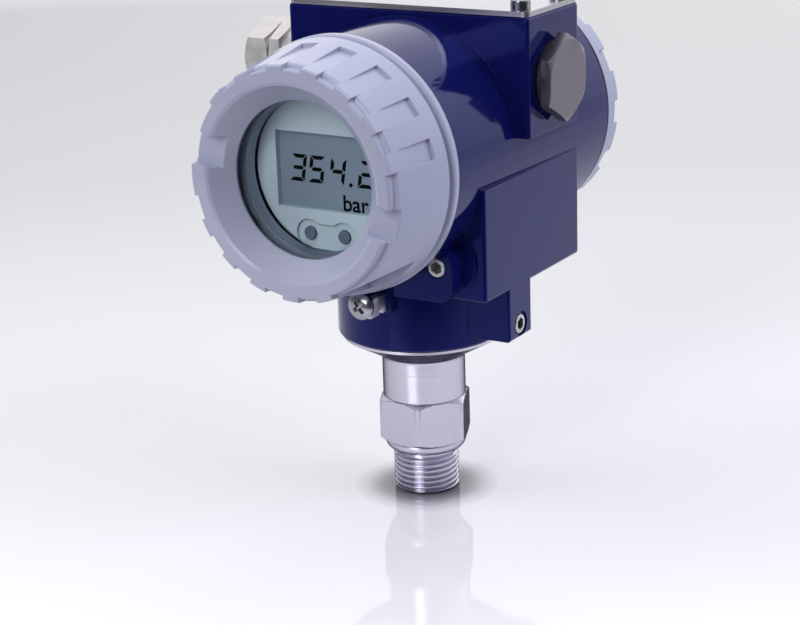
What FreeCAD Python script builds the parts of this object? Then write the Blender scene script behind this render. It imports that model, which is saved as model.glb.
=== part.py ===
"""Dual-compartment pressure transmitter with a local display.

Millimetres, +Z up. The origin is on the axis of the process thread, at its lower tip. The display
looks towards -Y, the cable gland leaves towards -X and the blanking plug towards +X.
"""
import FreeCAD
import Part
import math
import os

VEC = FreeCAD.Vector
AX_X = VEC(1, 0, 0)
AX_Y = VEC(0, 1, 0)
AX_Z = VEC(0, 0, 1)

# Process connection, turned from 27 mm hexagon bar
THREAD_R = 10.4775           # major radius of a G 1/2 pipe thread
THREAD_TOP = 12.6
RELIEF_R = 9.3
RELIEF_TOP = 13.9
SEAT_R = 13.1                # round collar that bears on the sealing washer
HEX_FLATS = 27.0
HEX_BOTTOM = 17.3
HEX_TOP = 32.0
HEX_TURN = 22.0              # degrees from -Y to a corner
PORT_R = 1.75
CELL_R = 10.8
CELL_SEAT = 24.0

# Sensor neck and the spigot that the housing turns on
NECK_R = 13.28
FLARE_FOOT_Z = 45.0          # where the neck starts to widen
FLARE_TOP_Z = 52.5
FLANGE_R = 25.5
SPIGOT_R = 22.45
SPIGOT_TOP = 73.0
SHOULDER_Z = 53.5
RUN_GAP = 0.05               # radial clearance of a running fit

# Housing casting
AXIS_Z = 115.8
CASE_FRONT_Y = -40.0
CASE_REAR_Y = 55.4
CASE_FRONT_R = 37.3
CASE_REAR_R = 38.8
BLOCK_X = 42.1
BLOCK_Y = (-5.45, 27.1)
BLOCK_Z = (119.4, 155.4)
BASE_X = 38.06
BASE_Y = (-26.3, 34.8)
BASE_Z = (73.7, 108.1)
COLLAR_R = 26.8
COLLAR_BOTTOM = 53.9
COLLAR_BORE = SPIGOT_R + RUN_GAP
COLLAR_CEILING = 79.5
CHAMBER_R = 32.5
PARTITION_Y = (-10.0, -5.0)
COVER_THREAD_R = 35.0
COVER_THREAD_DEPTH = 10.0

# Cable entries, M20 x 1.5
PORT_Y = 10.2
PORT_Z = 135.5
ENTRY_R = 10.0
ENTRY_DEPTH = 10.5

# Locks and earth terminal
LOCK_X = 25.5
LOCK_Z = 85.3
LOCK_BOSS_R = 5.5
APRON_X = 10.6                # left end of the front boss
APRON_Z = 74.8
APRON_CORNER = 5.0
STEP_R = 9.6                  # raised ring at the foot of the front boss
LOCK_FRONT_Y = -33.7
LOCK_REAR_Y = 49.0
LOCK_SCREW_R = 3.0
LUG_Y = (-12.1, 2.2)
LUG_BOTTOM = 57.3
LUG_SCREW_Y = -5.0
LUG_SCREW_Z = 61.5
EARTH_X = 0.3
EARTH_Z = 70.9
EARTH_FACE_Y = -27.2
CLAMP_FRONT_Y = -35.3
CLAMP_Z = (66.9, 73.1)
CLAMP_HALF = 3.3
EARTH_HEAD = (4.9, 2.3)      # radius and height

# Front cover with the window
COVER_BACK_Y = -40.5
COVER_R = 38.4
CONE_Y = (-45.3, -67.3)      # its rear and front ends
CONE_R = (38.05, 34.3)
GROOVE_R = 36.7
NOSE_Y = -70.0
NOSE_R = 33.1
MOUTH_R = 28.4
APERTURE_R = 23.1
APERTURE_Y = -63.2
PAD_R = (36.05, 34.3)        # the grip pads taper less than the cone
PAD_BACK_Y = -50.9
PAD_WIDTH = 9.2              # degrees
PAD_STEP = 20.0
PAD_TOP = (15.5, 7)          # first centre angle and count of the row over the top
PAD_BOTTOM = (207.5, 5)
PAD_WIDE = (182.5, 16.0)     # centre and width of the broad pad beside the left notch
FLAT_TURN = -63.0            # direction that the flat of the cone faces
FLAT_R = 33.9
NOTCH_TURN = -15.0
NOTCH_WIDTH = 9.8
NOTCH_DEPTH = 4.0
SKIRT_INNER_R = 31.5

# Window stack inside the front cover
GLASS_R = 27.2
GASKET_Y = (-62.6, -62.0)
GLASS_Y = (-62.0, -59.4)
BACK_GASKET_Y = (-59.4, -58.8)
RETAINER_Y = (-58.8, -54.2)
RETAINER_R = (22.9, 29.4)

# Display module
BEZEL_R = 24.0
BEZEL_FACE_Y = -52.3
BEZEL_WALL = 1.5
BEZEL_FRONT = 1.8
MODULE_FACE_Y = -30.0
MODULE_R = 31.0
WINDOW_HALF = (16.4, 11.3)
WINDOW_DROP = 0.1
BUTTON_X = 5.9
BUTTON_DROP = 18.8
BUTTON_R = 2.0
BUTTON_GAP = 0.08
WELL_R = 4.4
WELL_DEPTH = 0.9

# Rear cover
REAR_BACK_Y = 55.9
REAR_R = 38.6
TOOTH_R = (36.9, 38.3)
TOOTH_Y = (58.4, 64.0)
TOOTH_COUNT = 14
TOOTH_GAP = 11.2             # degrees
REAR_END_Y = 67.5

# Plug and gland
PLUG_WASHER = (0.05, 1.75)
PLUG_HEX = (1.8, 5.2)
PLUG_FLATS = 23.3
GLAND_FLATS = 21.6
GLAND_TURN = 4.0             # degrees that the gland's hexagons are turned from upright
GLAND_HEX = (7.8, 12.2)      # hexagon of the gland body, outwards from the housing's side
GLAND_RING_R = (11.0, 10.0)  # collars and grooves between the hexagon and the housing
GLAND_THREAD = (9.0, 18.6)   # radius and outer end of the thread for the nut
NUT_HEX = (12.8, 21.3)
NUT_END = 22.8
NUT_BORE = (9.05, 19.4)      # threaded bore of the nut, radius and depth
NUT_MOUTH_R = 6.6
CABLE_R = 5.0

# Name plate on the entry block
PLATE_THICK = 1.6
PLATE_INSET = 0.1
PLATE_HEAD = (3.0, 3.2)      # radius and height of its screw heads
PLATE_SCREW = (37.8, -1.8, 23.0)


def ring(axis, base, r_out, r_in, length):
    """Tube or disc of the given length, from the base point along the axis."""
    body = Part.makeCylinder(r_out, length, base, axis)
    if r_in > 0:
        body = body.cut(Part.makeCylinder(r_in, length, base, axis))
    return body


def y_ring(r_out, r_in, y0, y1, x=0.0, z=AXIS_Z):
    """Tube or disc about an axis along Y, by default the housing's own axis."""
    return ring(AX_Y, VEC(x, y0, z), r_out, r_in, y1 - y0)


def z_ring(r_out, r_in, z0, z1, x=0.0, y=0.0):
    """Tube or disc about a vertical axis."""
    return ring(AX_Z, VEC(x, y, z0), r_out, r_in, z1 - z0)


def x_ring(side, r_out, r_in, u0, u1):
    """Tube or disc on a cable entry's axis; u counts outwards from the block's side face."""
    start = VEC(side * (BLOCK_X + u0), PORT_Y, PORT_Z)
    return ring(AX_X * side, start, r_out, r_in, u1 - u0)


def slab(x, y, z):
    """Box between two values on each axis."""
    return Part.makeBox(x[1] - x[0], y[1] - y[0], z[1] - z[0], VEC(x[0], y[0], z[0]))


def rounded(box, radius, keep):
    """Box with the edges that the test picks rounded."""
    edges = [edge for edge in box.Edges if keep(edge)]
    return box.makeFillet(radius, edges)


def runs_along(edge, axis):
    """True where a straight edge runs along the axis."""
    return abs(edge.tangentAt(edge.FirstParameter).dot(axis)) > 0.99


def revolved(points, axis, centre):
    """Solid of revolution of a closed outline given as (radius, height) pairs along the axis."""
    side = AX_X
    outline = [centre + side * radius + axis * height for radius, height in points]
    wire = Part.makePolygon(outline + outline[:1])
    return Part.Face(wire).revolve(centre, axis, 360)


def about_case(points):
    """Solid of revolution about the housing's axis from (radius, y) pairs."""
    return revolved(points, AX_Y, VEC(0, 0, AXIS_Z))


def about_stem(points):
    """Solid of revolution about the vertical axis from (radius, z) pairs."""
    return revolved(points, AX_Z, VEC(0, 0, 0))


def hexagon(axis, centre, flats, length, turn=0.0, start=AX_Z):
    """Hexagonal prism along the axis; turn is the angle in degrees from start to a corner."""
    corner_r = flats / 2 / math.cos(math.pi / 6)
    points = []
    for step in range(6):
        arm = FreeCAD.Rotation(axis, turn + 60 * step).multVec(start)
        points.append(centre + arm * corner_r)
    return Part.Face(Part.makePolygon(points + points[:1])).extrude(axis * length)


def chamfered_hexagon(axis, centre, flats, length, chamfer, turn=0.0, start=AX_Z, both=True):
    """Hexagonal prism whose corners are turned off at the far end, or at both ends."""
    prism = hexagon(axis, centre, flats, length, turn, start)
    corner_r = flats / 2 / math.cos(math.pi / 6)
    flat_r = flats / 2 - 0.1
    near = flat_r if both else corner_r + 0.1
    rise = chamfer if both else 0.0
    side = axis.cross(start)
    profile = [(0, 0), (near, 0), (corner_r + 0.1, rise), (corner_r + 0.1, length - chamfer),
               (flat_r, length), (0, length)]
    outline = []
    for radius, height in profile:
        point = centre + side * radius + axis * height
        if not outline or point.distanceToPoint(outline[-1]) > 1e-6:
            outline.append(point)
    turned = Part.Face(Part.makePolygon(outline + outline[:1])).revolve(centre, axis, 360)
    return prism.common(turned)


def sectors(centres, width, r_out, y0, y1):
    """Wedges about the housing's axis, one for each centre angle, as one compound."""
    wedges = []
    for centre in centres:
        wedge = Part.makeCylinder(r_out, y1 - y0, VEC(0, 0, 0), AX_Y, width)
        heart = wedge.CenterOfMass
        middle = math.degrees(math.atan2(heart.z, heart.x))
        wedge.rotate(VEC(0, 0, 0), AX_Y, middle - centre)
        wedge.translate(VEC(0, y0, AXIS_Z))
        wedges.append(wedge)
    return Part.makeCompound(wedges)


def fused(first, *others):
    """Union of the solids with the seams between coplanar faces removed."""
    return first.fuse(list(others)).removeSplitter()


def socket_cut(shape, axis, face_centre, flats, depth, turn=0.0, start=AX_Z):
    """Shape with a hexagon socket sunk from the face against the outward axis."""
    return shape.cut(hexagon(axis * -1, face_centre, flats, depth, turn, start))


def cross_cut(shape, axis, face_centre, span, width, depth, start, turn=0.0):
    """Shape with a cross recess sunk from the face against the outward axis."""
    for quarter in (0, 90):
        arm = FreeCAD.Rotation(axis, turn + quarter).multVec(start)
        side = axis.cross(arm)
        a = face_centre + arm * (span / 2) + side * (width / 2)
        b = face_centre + arm * (span / 2) - side * (width / 2)
        c = face_centre - arm * (span / 2) - side * (width / 2)
        d = face_centre - arm * (span / 2) + side * (width / 2)
        shape = shape.cut(Part.Face(Part.makePolygon([a, b, c, d, a])).extrude(axis * -depth))
    return shape


# ---------------------------------------------------------------- stem

def process_connection():
    """Threaded end, sealing seat and spanner hexagon with the pressure port through them."""
    outer = about_stem([(0, 0), (THREAD_R, 0), (THREAD_R, THREAD_TOP), (RELIEF_R, THREAD_TOP + 0.6),
                        (RELIEF_R, RELIEF_TOP), (SEAT_R - 2.0, RELIEF_TOP), (SEAT_R - 0.5, 14.9),
                        (SEAT_R, 16.2), (SEAT_R, HEX_TOP), (0, HEX_TOP)])
    grip = chamfered_hexagon(AX_Z, VEC(0, 0, HEX_BOTTOM), HEX_FLATS, HEX_TOP - HEX_BOTTOM, 1.3,
                             HEX_TURN, AX_Y * -1)
    body = fused(outer, grip)
    body = body.cut(z_ring(PORT_R, 0, 0, CELL_SEAT))
    return body.cut(z_ring(CELL_R, 0, CELL_SEAT, HEX_TOP))


def sensor_neck():
    """Hollow neck welded on the hexagon, with the flange and the spigot for the housing."""
    outline = [(CELL_R, HEX_TOP), (NECK_R, HEX_TOP), (NECK_R, FLARE_FOOT_Z),
               (NECK_R + 0.3, FLARE_FOOT_Z + 0.7), (NECK_R + 1.1, FLARE_FOOT_Z + 1.3),
               (FLANGE_R - 0.2, FLARE_TOP_Z), (FLANGE_R, FLARE_TOP_Z + 0.2), (FLANGE_R, SHOULDER_Z),
               (SPIGOT_R, SHOULDER_Z), (SPIGOT_R, 54.8), (20.3, 54.8), (20.3, 57.2),
               (SPIGOT_R, 57.2), (SPIGOT_R, 59.1), (20.9, 59.1), (20.9, 64.1), (SPIGOT_R, 64.1),
               (SPIGOT_R, SPIGOT_TOP - 0.8), (SPIGOT_R - 0.8, SPIGOT_TOP), (18.0, SPIGOT_TOP),
               (18.0, 58.0), (CELL_R, 51.0)]
    return about_stem(outline)


def sensor_cell():
    """Measuring capsule on its seat at the top of the pressure port."""
    return about_stem([(0, CELL_SEAT), (CELL_R, CELL_SEAT), (CELL_R, 30.6), (7.0, 30.6),
                       (7.0, 36.0), (0, 36.0)])


def sensor_board():
    """Round amplifier board on the capsule, with a square chip on it."""
    return fused(z_ring(10.0, 0, 36.0, 37.6), slab((-4, 4), (-4, 4), (37.6, 39.4)))


def neck_cover():
    """Moulded cover with the plug socket that closes the top of the neck."""
    cover = fused(z_ring(18.0, 0, 68.0, 71.5), slab((-8, 8), (-4, 4), (71.5, 76.5)))
    return cover.cut(slab((-6.6, 6.6), (-2.6, 2.6), (72.5, 76.5)))


def neck_seal():
    """O-ring in the lower groove of the spigot."""
    return Part.makeTorus(21.4, 1.02, VEC(0, 0, 56.0), AX_Z)


# ---------------------------------------------------------------- housing

def case_outside():
    """Outer form of the casting: barrel, entry block, base, collar, bosses and lug."""
    barrel = about_case([(0, CASE_FRONT_Y), (CASE_FRONT_R - 0.5, CASE_FRONT_Y),
                         (CASE_FRONT_R, CASE_FRONT_Y + 0.5), (CASE_REAR_R, CASE_REAR_Y - 1.2),
                         (CASE_REAR_R - 0.8, CASE_REAR_Y), (0, CASE_REAR_Y)])
    block = rounded(slab((-BLOCK_X, BLOCK_X), BLOCK_Y, BLOCK_Z), 1.0,
                    lambda edge: runs_along(edge, AX_Z) or edge.CenterOfMass.z > BLOCK_Z[1] - 1)
    base = rounded(slab((-BASE_X, BASE_X), BASE_Y, BASE_Z), 1.0,
                   lambda edge: runs_along(edge, AX_Z) or edge.CenterOfMass.z < BASE_Z[0] + 1)
    collar = z_ring(COLLAR_R, 0, COLLAR_BOTTOM, BASE_Z[0] + 4)
    collar = rounded(collar, 0.8, lambda edge: edge.CenterOfMass.z < COLLAR_BOTTOM + 1
                     and edge.Length > COLLAR_R)
    lug = rounded(slab((18, BASE_X), LUG_Y, (LUG_BOTTOM, BASE_Z[0] + 2)), 0.8,
                  lambda edge: edge.CenterOfMass.x > BASE_X - 1)
    return fused(barrel, block, base, collar, lug, front_lock_boss(), rear_lock_boss(),
                 earth_boss())


def front_lock_boss():
    """Raised pad under the front cover that carries the cover's lock screw."""
    right = LOCK_X + LOCK_BOSS_R
    depth = (LOCK_FRONT_Y, BASE_Y[0] + 2)
    post = y_ring(LOCK_BOSS_R, 0, *depth, LOCK_X, LOCK_Z)
    apron = rounded(slab((APRON_X, right), depth, (APRON_Z, LOCK_Z)), APRON_CORNER,
                    lambda edge: runs_along(edge, AX_Y) and edge.CenterOfMass.x > right - 1
                    and edge.CenterOfMass.z < LOCK_Z - 1)
    inner = slab((APRON_X, LOCK_X), depth, (APRON_Z, LOCK_Z + LOCK_BOSS_R))
    step = y_ring(STEP_R, 0, BASE_Y[0] - 1.0, BASE_Y[0] + 2, LOCK_X, LOCK_Z)
    return fused(post, apron, inner, step)


def rear_lock_boss():
    """The same boss at the back, on the other side."""
    post = y_ring(LOCK_BOSS_R, 0, BASE_Y[1] - 2, LOCK_REAR_Y, -LOCK_X, LOCK_Z)
    web = slab((-LOCK_X, -LOCK_X + 12), (BASE_Y[1] - 2, LOCK_REAR_Y),
               (LOCK_Z - LOCK_BOSS_R, LOCK_Z + LOCK_BOSS_R))
    return fused(post, web)


def earth_boss():
    """Pocketed pad on the collar that keeps the earth clamp from turning."""
    pad = slab((EARTH_X - 6.9, EARTH_X + 6.9), (EARTH_FACE_Y - 2.8, -20.0), (68.1, 76.0))
    pocket = slab((EARTH_X - 5.4, EARTH_X + 5.4), (EARTH_FACE_Y - 2.8, EARTH_FACE_Y), (68.1, 76.0))
    return pad.cut(pocket)


def cover_bores(case):
    """Case with both chambers and the bores that take the cover threads."""
    front = y_ring(CHAMBER_R, 0, CASE_FRONT_Y, PARTITION_Y[0])
    front_thread = y_ring(COVER_THREAD_R, 0, CASE_FRONT_Y, CASE_FRONT_Y + COVER_THREAD_DEPTH)
    rear = y_ring(CHAMBER_R, 0, PARTITION_Y[1], CASE_REAR_Y)
    rear_thread = y_ring(COVER_THREAD_R, 0, CASE_REAR_Y - COVER_THREAD_DEPTH, CASE_REAR_Y)
    return case.cut([front, front_thread, rear, rear_thread])


def entry_bores(case):
    """Case with the two threaded cable entries open to the rear chamber."""
    cuts = []
    for side in (-1, 1):
        cuts.append(x_ring(side, ENTRY_R, 0, -ENTRY_DEPTH, 0))
        cuts.append(x_ring(side, 8.6, 0, -24.0, -ENTRY_DEPTH))
    return case.cut(cuts)


def screw_holes(case):
    """Case with the tapped holes of its screws and the wire passages."""
    cuts = [y_ring(LOCK_SCREW_R, 0, LOCK_FRONT_Y, -24.0, LOCK_X, LOCK_Z),
            y_ring(LOCK_SCREW_R, 0, 39.5, LOCK_REAR_Y, -LOCK_X, LOCK_Z),
            ring(AX_X, VEC(25.5, LUG_SCREW_Y, LUG_SCREW_Z), LOCK_SCREW_R, 0, 20),
            ring(AX_X, VEC(20.0, LUG_SCREW_Y, LUG_SCREW_Z), 2.05, 0, 8),
            ring(AX_X, VEC(37.3, LUG_SCREW_Y, LUG_SCREW_Z), 4.1, 0, 5),
            y_ring(2.5, 0, EARTH_FACE_Y, EARTH_FACE_Y + 4.0, EARTH_X, EARTH_Z),
            y_ring(5.0, 0, PARTITION_Y[0], PARTITION_Y[1], 0, 108.0),
            y_ring(2.0, 0, -8.5, PARTITION_Y[1], 0, 129.0),
            z_ring(4.0, 0, COLLAR_CEILING - 1, 90.0, 0, -16.0)]
    for x, y in plate_screw_places():
        cuts.append(z_ring(1.6, 0, BLOCK_Z[1] - 8.4, BLOCK_Z[1], x, y))
    for x, z in module_screw_places():
        cuts.append(y_ring(1.5, 0, PARTITION_Y[0], -6.5, x, z))
    return case.cut(cuts)


def housing():
    """Die-cast housing with two chambers, cable entries and the collar that turns on the neck."""
    case = cover_bores(case_outside())
    case = case.cut(z_ring(COLLAR_BORE, 0, COLLAR_BOTTOM, COLLAR_CEILING))
    return screw_holes(entry_bores(case))


def plate_screw_places():
    """Centres of the plate screws in plan."""
    x, y_front, y_back = PLATE_SCREW
    return [(side * x, y) for side in (-1, 1) for y in (y_front, y_back)]


def name_plate():
    """Bare stainless plate on the entry block."""
    half = BLOCK_X - PLATE_INSET
    depth = (BLOCK_Y[0] + PLATE_INSET, BLOCK_Y[1] - PLATE_INSET)
    plate = rounded(slab((-half, half), depth, (BLOCK_Z[1], BLOCK_Z[1] + PLATE_THICK)), 2.0,
                    lambda edge: runs_along(edge, AX_Z))
    return plate.cut([z_ring(1.6, 0, BLOCK_Z[1], 160, x, y) for x, y in plate_screw_places()])


def plate_screws():
    """Four cheese-head screws of the plate."""
    top = BLOCK_Z[1] + PLATE_THICK
    head_r, head_h = PLATE_HEAD
    screws = []
    for x, y in plate_screw_places():
        head = rounded(z_ring(head_r, 0, top, top + head_h, x, y), 0.5,
                       lambda edge: edge.CenterOfMass.z > top + head_h - 0.1)
        screw = fused(head, z_ring(1.6, 0, BLOCK_Z[1] - 7.4, top, x, y))
        screws.append(cross_cut(screw, AX_Z, VEC(x, y, top + head_h), 3.6, 0.9, 1.5, AX_X, 20))
    return Part.makeCompound(screws)


def set_screw(axis, face_centre, length, start):
    """Hexagon socket set screw whose outer face is at face_centre."""
    body = Part.makeCylinder(LOCK_SCREW_R, length, face_centre, axis * -1)
    body = rounded(body, 0.35, lambda edge: edge.Length > LOCK_SCREW_R
                   and edge.CenterOfMass.distanceToPoint(face_centre) < 0.1)
    return socket_cut(body, axis, face_centre, 3.4, 4.0, 0, start)


def front_lock_screw():
    """Set screw that is turned out against the front cover to lock it."""
    return set_screw(AX_Y * -1, VEC(LOCK_X, LOCK_FRONT_Y + 0.2, LOCK_Z), 9.3, AX_Z)


def rear_lock_screw():
    """Set screw that is turned out against the rear cover to lock it."""
    return set_screw(AX_Y, VEC(-LOCK_X, LOCK_REAR_Y - 0.2, LOCK_Z), 9.0, AX_Z)


def neck_lock_screw():
    """Set screw in the lug, with a pin end that runs in the groove of the spigot."""
    face = VEC(38.0, LUG_SCREW_Y, LUG_SCREW_Z)
    body = set_screw(AX_X, face, 12.5, AX_Z)
    return fused(body, ring(AX_X, VEC(21.5, LUG_SCREW_Y, LUG_SCREW_Z), 2.0, 0, 4.5))


def earth_clamp():
    """Square terminal clamp under the earth screw, slotted underneath for the wire."""
    depth = (CLAMP_FRONT_Y, EARTH_FACE_Y)
    across = (EARTH_X - CLAMP_HALF, EARTH_X + CLAMP_HALF)
    block = rounded(slab(across, depth, CLAMP_Z), 0.5, lambda edge: runs_along(edge, AX_Y))
    slot = slab(across, (-31.0, -28.6), (CLAMP_Z[0], CLAMP_Z[0] + 1.7))
    return block.cut([slot, y_ring(2.5, 0, *depth, EARTH_X, EARTH_Z)])


def earth_screw():
    """Pan-head screw of the earth clamp."""
    head_r, head_h = EARTH_HEAD
    face = CLAMP_FRONT_Y - head_h
    head = rounded(y_ring(head_r, 0, face, CLAMP_FRONT_Y, EARTH_X, EARTH_Z), 1.2,
                   lambda edge: edge.CenterOfMass.y < face + 0.1)
    screw = fused(head, y_ring(2.5, 0, CLAMP_FRONT_Y, EARTH_FACE_Y + 4.0, EARTH_X, EARTH_Z))
    return cross_cut(screw, AX_Y * -1, VEC(EARTH_X, face, EARTH_Z), 5.0, 1.3, 1.5, AX_Z, 38)


# ---------------------------------------------------------------- inside the housing

def module_screw_places():
    """Centres (x, z) of the two screws of the electronics module."""
    return [(-27.4, AXIS_Z), (27.4, AXIS_Z)]


def electronics_module():
    """Potted electronics on the partition, in the front chamber."""
    puck = about_case([(0, MODULE_FACE_Y), (MODULE_R - 1, MODULE_FACE_Y),
                       (MODULE_R, MODULE_FACE_Y + 1), (MODULE_R, PARTITION_Y[0]),
                       (0, PARTITION_Y[0])])
    holes = [y_ring(1.5, 0, MODULE_FACE_Y, PARTITION_Y[0], x, z) for x, z in module_screw_places()]
    return puck.cut(holes)


def module_screws():
    """Two screws that hold the electronics module."""
    screws = []
    for x, z in module_screw_places():
        screw = fused(y_ring(2.6, 0, MODULE_FACE_Y - 2, MODULE_FACE_Y, x, z),
                      y_ring(1.5, 0, MODULE_FACE_Y, -7.0, x, z))
        screws.append(cross_cut(screw, AX_Y * -1, VEC(x, MODULE_FACE_Y - 2, z), 3.4, 0.8, 1.2, AX_Z))
    return Part.makeCompound(screws)


def display_bezel():
    """Moulded frame of the display: a cup with the window and the well for the two buttons."""
    cup = about_case([(0, BEZEL_FACE_Y), (BEZEL_R - 0.8, BEZEL_FACE_Y),
                      (BEZEL_R, BEZEL_FACE_Y + 0.8), (BEZEL_R, MODULE_FACE_Y),
                      (BEZEL_R - BEZEL_WALL, MODULE_FACE_Y),
                      (BEZEL_R - BEZEL_WALL, BEZEL_FACE_Y + BEZEL_FRONT),
                      (0, BEZEL_FACE_Y + BEZEL_FRONT)])
    half_x, half_z = WINDOW_HALF
    middle = AXIS_Z - WINDOW_DROP
    window = slab((-half_x, half_x), (BEZEL_FACE_Y, BEZEL_FACE_Y + BEZEL_FRONT),
                  (middle - half_z, middle + half_z))
    z = AXIS_Z - BUTTON_DROP
    floor = BEZEL_FACE_Y + WELL_DEPTH
    cuts = [window, slab((-BUTTON_X, BUTTON_X), (BEZEL_FACE_Y, floor), (z - WELL_R, z + WELL_R - 1.2))]
    for side in (-1, 1):
        cuts.append(y_ring(WELL_R, 0, BEZEL_FACE_Y, floor, side * BUTTON_X, z))
        cuts.append(y_ring(BUTTON_R + BUTTON_GAP, 0, BEZEL_FACE_Y, MODULE_FACE_Y - 18,
                           side * BUTTON_X, z))
    return cup.cut(cuts)


def lcd_panel():
    """Glass cell of the display behind the window."""
    back = BEZEL_FACE_Y + BEZEL_FRONT
    middle = AXIS_Z - WINDOW_DROP
    return slab((-17.4, 17.4), (back, back + 3.0), (middle - 12.2, middle + 12.2))


def display_board():
    """Round circuit board behind the display cell."""
    front = BEZEL_FACE_Y + BEZEL_FRONT + 3.0
    return y_ring(BEZEL_R - BEZEL_WALL, 0, front, front + 1.6)


def key_switches():
    """Two small key switches on the board, one behind each button."""
    z = AXIS_Z - BUTTON_DROP
    front = BEZEL_FACE_Y + BEZEL_FRONT + 3.0
    switches = []
    for side in (-1, 1):
        x = side * BUTTON_X
        base = slab((x - 2.2, x + 2.2), (front - 0.9, front), (z - 1.4, z + 2.6))
        switches.append(fused(base, y_ring(1.1, 0, front - 1.3, front - 0.9, x, z)))
    return Part.makeCompound(switches)


def push_button(side):
    """Push button with its retaining flange behind the bezel."""
    z = AXIS_Z - BUTTON_DROP
    x = side * BUTTON_X
    face = BEZEL_FACE_Y + 0.05
    shoulder = BEZEL_FACE_Y + BEZEL_FRONT + 0.05
    stem = y_ring(BUTTON_R, 0, face, shoulder, x, z)
    stem = rounded(stem, 0.3, lambda edge: edge.CenterOfMass.y < face + 0.05)
    return fused(stem, y_ring(BUTTON_R + 0.4, 0, shoulder, shoulder + 0.95, x, z))


def terminal_block():
    """Three-pole terminal block on the partition in the rear chamber."""
    block = slab((-18, 18), (-5.0, 11.0), (94.0, 117.0))
    foot = slab((-12, 12), (-5.0, -2.0), (88.0, 94.0))
    block = fused(block, foot)
    cuts = []
    for x in terminal_places():
        cuts.append(y_ring(3.0, 0, 7.0, 11.0, x, 109.0))
        cuts.append(slab((x - 2.6, x + 2.6), (2.0, 11.0), (94.0, 101.0)))
        cuts.append(y_ring(1.5, 0, 1.0, 7.0, x, 109.0))
    return block.cut(cuts)


def terminal_places():
    """X positions of the three terminals."""
    return (-11.5, 0.0, 11.5)


def terminal_screws():
    """Slotted clamp screws of the terminals."""
    screws = []
    for x in terminal_places():
        screw = fused(y_ring(2.8, 0, 7.0, 9.4, x, 109.0), y_ring(1.5, 0, 1.5, 7.0, x, 109.0))
        screws.append(screw.cut(slab((x - 2.8, x + 2.8), (8.3, 9.4), (108.5, 109.5))))
    return Part.makeCompound(screws)


def feedthrough():
    """Sealed feedthrough that carries the loop wires through the partition."""
    return y_ring(5.0, 0, PARTITION_Y[0], PARTITION_Y[1], 0, 108.0)


def inner_earth_screw():
    """Earth screw on the partition in the rear chamber."""
    face = PARTITION_Y[1]
    screw = fused(y_ring(3.6, 0, face, face + 2.6, 0, 129.0), y_ring(2.0, 0, -8.0, face, 0, 129.0))
    return cross_cut(screw, AX_Y, VEC(0, face + 2.6, 129.0), 4.4, 1.0, 1.4, AX_Z, 30)


# ---------------------------------------------------------------- front cover

def pad_row(first, count):
    """Centre angles of one row of grip pads."""
    return [first + PAD_STEP * step for step in range(count)]


def pad_surface():
    """Solid whose outside is the surface that the grip pads lie on."""
    back_r, front_r = PAD_R
    return about_case([(0, NOSE_Y), (front_r - 0.5, NOSE_Y), (front_r, NOSE_Y + 0.5),
                       (back_r, PAD_BACK_Y), (0, PAD_BACK_Y)])


def cover_flat():
    """Block that cuts the flat, open to the front, into the lower right of the cone."""
    block = slab((FLAT_R, FLAT_R + 10), (CONE_Y[1], PAD_BACK_Y), (-25, 25))
    block.rotate(VEC(0, 0, 0), AX_Y, -FLAT_TURN)
    block.translate(VEC(0, 0, AXIS_Z))
    return block


def cover_outside():
    """Rim, groove, cone and nose of the front cover with the grip pads let into the cone."""
    back_r, front_r = CONE_R
    cone = about_case([(0, NOSE_Y), (NOSE_R - 0.5, NOSE_Y), (NOSE_R, NOSE_Y + 0.5),
                       (NOSE_R, CONE_Y[1] - 0.3), (front_r - 0.4, CONE_Y[1]),
                       (front_r + 0.1, CONE_Y[1] + 0.5), (back_r, CONE_Y[0] - 0.6),
                       (back_r - 0.5, CONE_Y[0]), (GROOVE_R, CONE_Y[0] + 0.4), (GROOVE_R, -43.6),
                       (COVER_R - 0.5, -43.2), (COVER_R, -42.7), (COVER_R, COVER_BACK_Y - 0.4),
                       (COVER_R - 0.4, COVER_BACK_Y), (0, COVER_BACK_Y)])
    narrow = sectors(pad_row(*PAD_TOP) + pad_row(*PAD_BOTTOM), PAD_WIDTH, 45.0, NOSE_Y - 1,
                     PAD_BACK_Y)
    wide = sectors(PAD_WIDE[:1], PAD_WIDE[1], 45.0, NOSE_Y - 1, PAD_BACK_Y)
    body = cone.cut([cover_flat(), narrow, wide])
    pads = pad_surface()
    return fused(body, pads.common(narrow), pads.common(wide))


def cover_inside():
    """Everything that is hollow in the front cover, as one solid."""
    return about_case([(0, NOSE_Y - 1), (MOUTH_R + 0.9, NOSE_Y - 1), (MOUTH_R + 0.9, NOSE_Y),
                       (MOUTH_R, NOSE_Y + 0.5), (APERTURE_R, APERTURE_Y),
                       (APERTURE_R, GASKET_Y[0]), (GLASS_R, GASKET_Y[0]),
                       (GLASS_R, RETAINER_Y[0]), (RETAINER_R[1], RETAINER_Y[0]),
                       (RETAINER_R[1], RETAINER_Y[1] + 0.6), (30.6, RETAINER_Y[1] + 1.8),
                       (SKIRT_INNER_R, -45.0), (SKIRT_INNER_R, -30.0), (0, -30.0)])


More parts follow.
